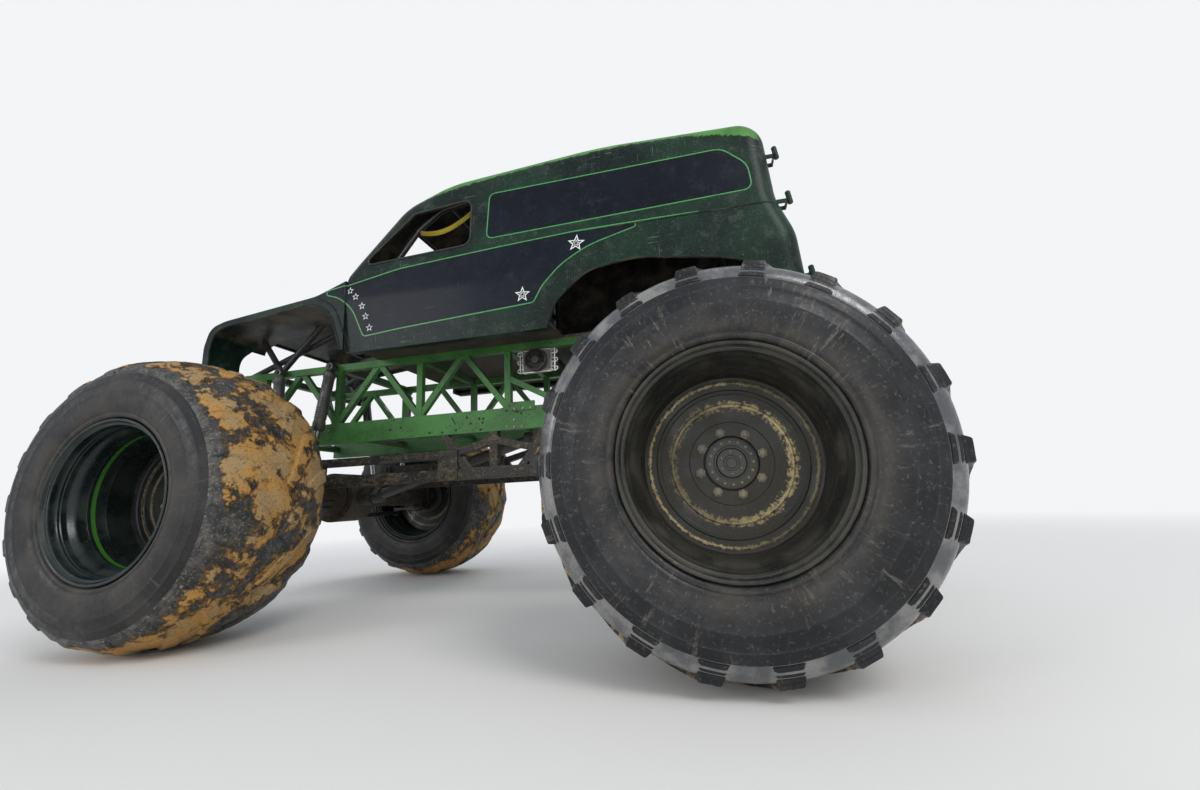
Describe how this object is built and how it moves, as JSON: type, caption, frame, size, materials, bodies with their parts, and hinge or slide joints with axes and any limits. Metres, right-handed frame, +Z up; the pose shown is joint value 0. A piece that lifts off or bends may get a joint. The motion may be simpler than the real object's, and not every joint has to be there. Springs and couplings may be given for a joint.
{
  "type": "monster truck",
  "caption": "Monster truck: a rounded panel van shell on a lattice chassis, with steered axles, large lugged tyres and opening rear doors.",
  "frame": {"origin": "on the floor, under the middle of the wheelbase and on the centre plane", "axes": "+X forward, +Y to the vehicle's left, +Z up"},
  "size_m": [4.956, 4.042, 3.1992],
  "materials": {
    "tyre_rubber": "matt rubber, dusty, with dried mud on the front tread",
    "rim_paint": "dark green-black paint, dusty",
    "hub_metal": "dull dark metal with oil and dust",
    "chassis_green": "gloss green paint, scuffed and dusty",
    "link_black": "black paint under dried mud",
    "axle_steel": "dark steel, muddy",
    "shock_metal": "satin metal",
    "body_black": "black gel coat fading to dark metallic green, scratched",
    "roof_green": "bright green gel coat",
    "floor_metal": "bare sheet, brown with dust",
    "cage_black": "black powder coat",
    "seat_black": "black plastic shell",
    "machine_grey": "dark cast metal",
    "cooler_metal": "fins and bright tube ends",
    "fan_black": "black plastic"
  },
  "bodies": {
    "frame": {"belly_frames": "link_black", "bulkhead": "floor_metal", "cooler_fan": "fan_black", "cross_members": "chassis_green", "dash": "floor_metal", "drive_shafts": "axle_steel", "engine_block": "machine_grey", "floor": "floor_metal", "front_axle_housing": "axle_steel", "front_braces": "cage_black", "front_clip": "body_black", "front_links": "link_black", "front_shocks": "shock_metal", "lattice_left": "chassis_green", "lattice_right": "chassis_green", "oil_cooler": "cooler_metal", "rear_axle_housing": "axle_steel", "rear_links": "link_black", "rear_shocks": "shock_metal", "roll_cage": "cage_black", "roof_panel": "roof_green", "seats": "seat_black", "side_panel_left": "body_black", "side_panel_right": "body_black", "steering_wheel": "cage_black", "transfer_case": "machine_grey", "windscreen_frame": "body_black"},
    "front_left_wheel": {"front_left_tyre": "tyre_rubber", "front_left_rim": "rim_paint", "front_left_hub": "hub_metal"},
    "front_left_steering": {"front_left_knuckle": "axle_steel"},
    "front_right_wheel": {"front_right_tyre": "tyre_rubber", "front_right_rim": "rim_paint", "front_right_hub": "hub_metal"},
    "front_right_steering": {"front_right_knuckle": "axle_steel"},
    "rear_left_wheel": {"rear_left_tyre": "tyre_rubber", "rear_left_rim": "rim_paint", "rear_left_hub": "hub_metal"},
    "rear_left_steering": {"rear_left_knuckle": "axle_steel"},
    "rear_right_wheel": {"rear_right_tyre": "tyre_rubber", "rear_right_rim": "rim_paint", "rear_right_hub": "hub_metal"},
    "rear_right_steering": {"rear_right_knuckle": "axle_steel"},
    "front_tie_rod": {"front_tie_rod": "axle_steel"},
    "rear_tie_rod": {"rear_tie_rod": "axle_steel"},
    "left_door": {"rear_door_left": "body_black"},
    "right_door": {"rear_door_right": "body_black"}
  },
  "joints": [
    {"name": "front_left_steer", "type": "hinge", "parent": "frame", "child": "front_left_steering", "pos_m": [1.64, 1.125, 0.838], "axis": [0, 0, 1], "range_deg": [-20, 20]},
    {"name": "front_left_spin", "type": "hinge", "parent": "front_left_steering", "child": "front_left_wheel", "pos_m": [1.64, 1.435, 0.838], "axis": [0, 1, 0], "continuous": true},
    {"name": "front_right_steer", "type": "hinge", "parent": "frame", "child": "front_right_steering", "pos_m": [1.64, -1.125, 0.838], "axis": [0, 0, 1], "range_deg": [-20, 20]},
    {"name": "front_right_spin", "type": "hinge", "parent": "front_right_steering", "child": "front_right_wheel", "pos_m": [1.64, -1.435, 0.838], "axis": [0, 1, 0], "continuous": true},
    {"name": "front_tie_rod_eye", "type": "hinge", "parent": "front_left_steering", "child": "front_tie_rod", "pos_m": [1.89, 1.125, 0.708], "axis": [0, 0, 1], "range_deg": [-20, 20]},
    {"name": "rear_left_steer", "type": "hinge", "parent": "frame", "child": "rear_left_steering", "pos_m": [-1.64, 1.37, 0.838], "axis": [0, 0, 1], "range_deg": [-15, 15]},
    {"name": "rear_left_spin", "type": "hinge", "parent": "rear_left_steering", "child": "rear_left_wheel", "pos_m": [-1.64, 1.61, 0.838], "axis": [0, 1, 0], "continuous": true},
    {"name": "rear_right_steer", "type": "hinge", "parent": "frame", "child": "rear_right_steering", "pos_m": [-1.64, -1.37, 0.838], "axis": [0, 0, 1], "range_deg": [-15, 15]},
    {"name": "rear_right_spin", "type": "hinge", "parent": "rear_right_steering", "child": "rear_right_wheel", "pos_m": [-1.64, -1.61, 0.838], "axis": [0, 1, 0], "continuous": true},
    {"name": "rear_tie_rod_eye", "type": "hinge", "parent": "rear_left_steering", "child": "rear_tie_rod", "pos_m": [-1.89, 1.37, 0.708], "axis": [0, 0, 1], "range_deg": [-15, 15]},
    {"name": "left_door_hinge", "type": "hinge", "parent": "frame", "child": "left_door", "pos_m": [-2.262, 0.8, 2.016], "axis": [0.1409, 0, 0.99], "range_deg": [-110, 0]},
    {"name": "right_door_hinge", "type": "hinge", "parent": "frame", "child": "right_door", "pos_m": [-2.262, -0.8, 2.016], "axis": [0.1409, 0, 0.99], "range_deg": [0, 110]}
  ],
  "couplings": [
    {"joint": "front_right_steer", "follows": "front_left_steer", "ratio": 1},
    {"joint": "front_tie_rod_eye", "follows": "front_left_steer", "ratio": -1},
    {"joint": "rear_right_steer", "follows": "rear_left_steer", "ratio": 1},
    {"joint": "rear_tie_rod_eye", "follows": "rear_left_steer", "ratio": -1}
  ]
}
